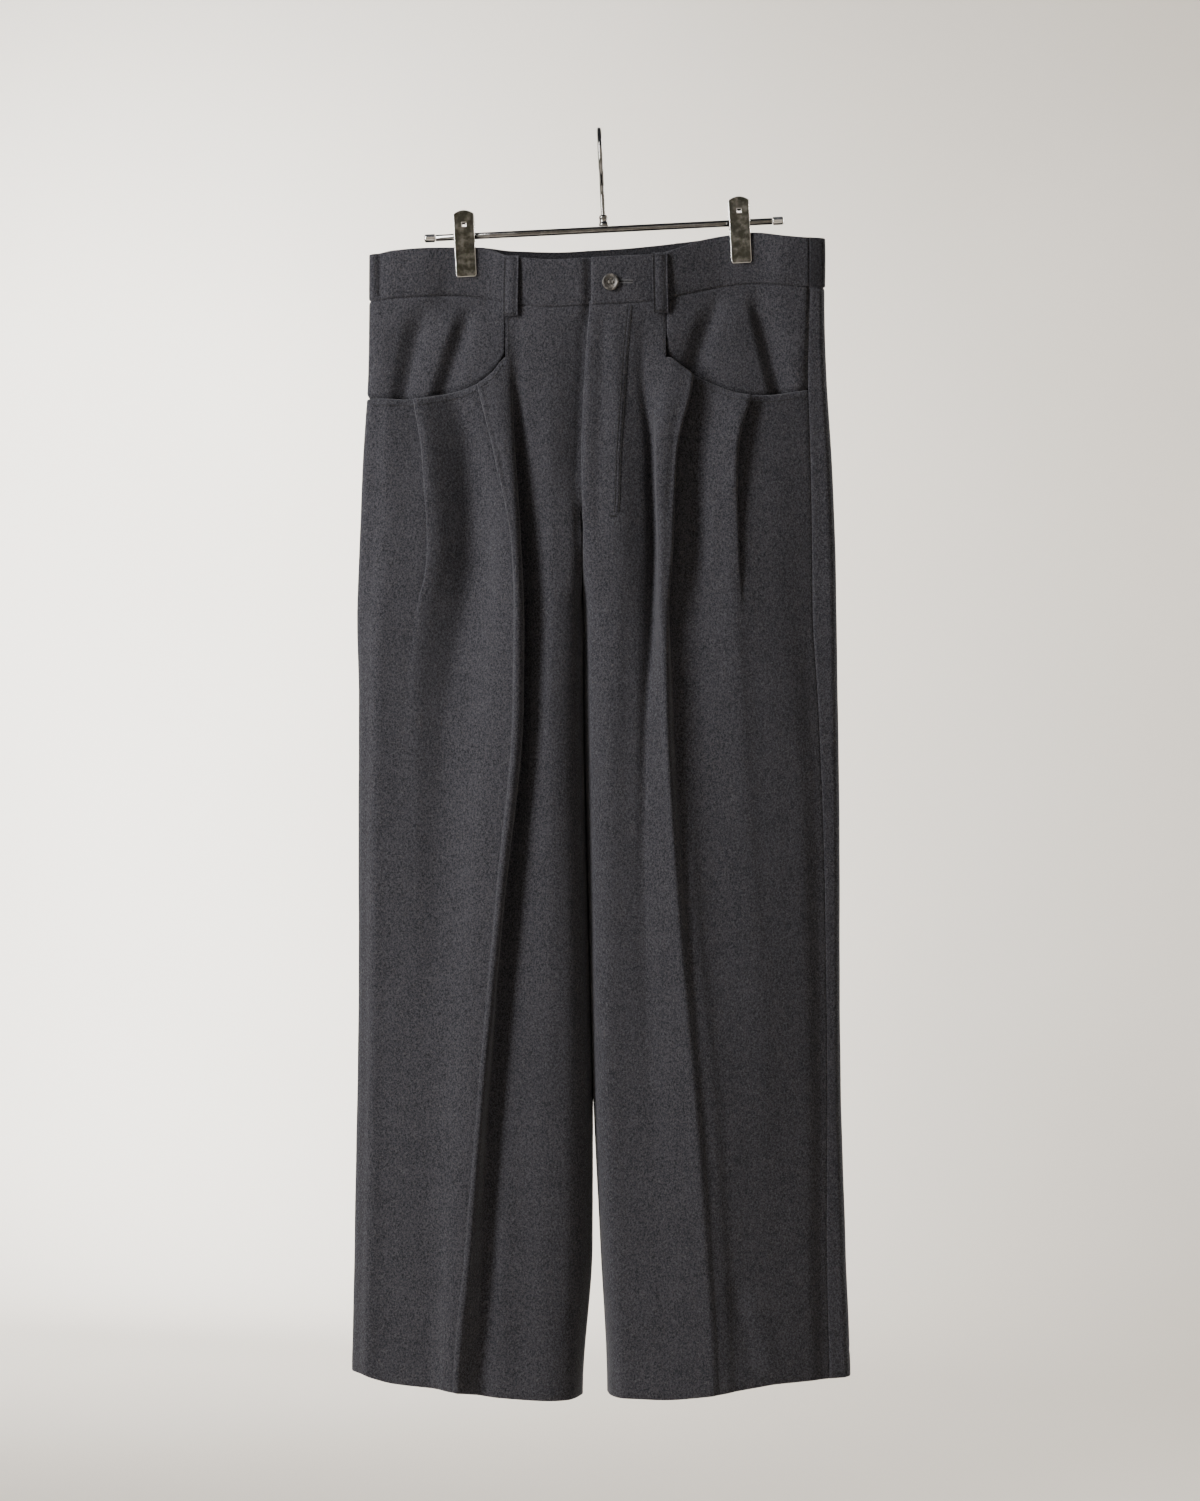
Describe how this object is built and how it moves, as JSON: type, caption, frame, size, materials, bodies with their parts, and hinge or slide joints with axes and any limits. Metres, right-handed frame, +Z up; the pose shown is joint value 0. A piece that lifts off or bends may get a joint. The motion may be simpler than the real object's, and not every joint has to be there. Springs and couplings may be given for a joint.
{
  "type": "wide-leg trousers on a clip hanger",
  "caption": "Wide-leg pleated trousers of dark napped wool, hung flat by the waistband from a metal clip hanger.",
  "frame": {"origin": "inner top of the hanger's hook, where it bears on the rail", "axes": "+Z up along the garment from hem to waist, the trousers' front faces -Y, and the wearer's left is at +X"},
  "size_m": [0.4492, 0.0766, 1.1389],
  "materials": {
    "wool": "napped wool twill, matt with a soft sheen",
    "horn": "polished grey-brown horn",
    "dark_chrome": "dark mirror chrome",
    "bright_chrome": "bright chrome"
  },
  "bodies": {
    "root": {"right_front_leg": "wool", "left_front_leg": "wool", "right_back_leg": "wool", "left_back_leg": "wool", "right_hip_yoke": "wool", "left_hip_yoke": "wool", "right_front_waistband": "wool", "left_front_waistband": "wool", "back_waistband": "wool", "right_front_loop": "wool", "left_front_loop": "wool", "right_back_loop": "wool", "centre_back_loop": "wool", "left_back_loop": "wool", "waist_button": "horn", "hanger_hook": "dark_chrome", "hanger_ferrule": "dark_chrome", "hanger_bar": "dark_chrome", "hanger_cap_right": "bright_chrome", "hanger_cap_left": "bright_chrome", "clip_front_right": "dark_chrome", "clip_back_right": "dark_chrome", "clip_barrel_right": "dark_chrome", "clip_front_left": "dark_chrome", "clip_back_left": "dark_chrome", "clip_barrel_left": "dark_chrome"}
  },
  "joints": []
}
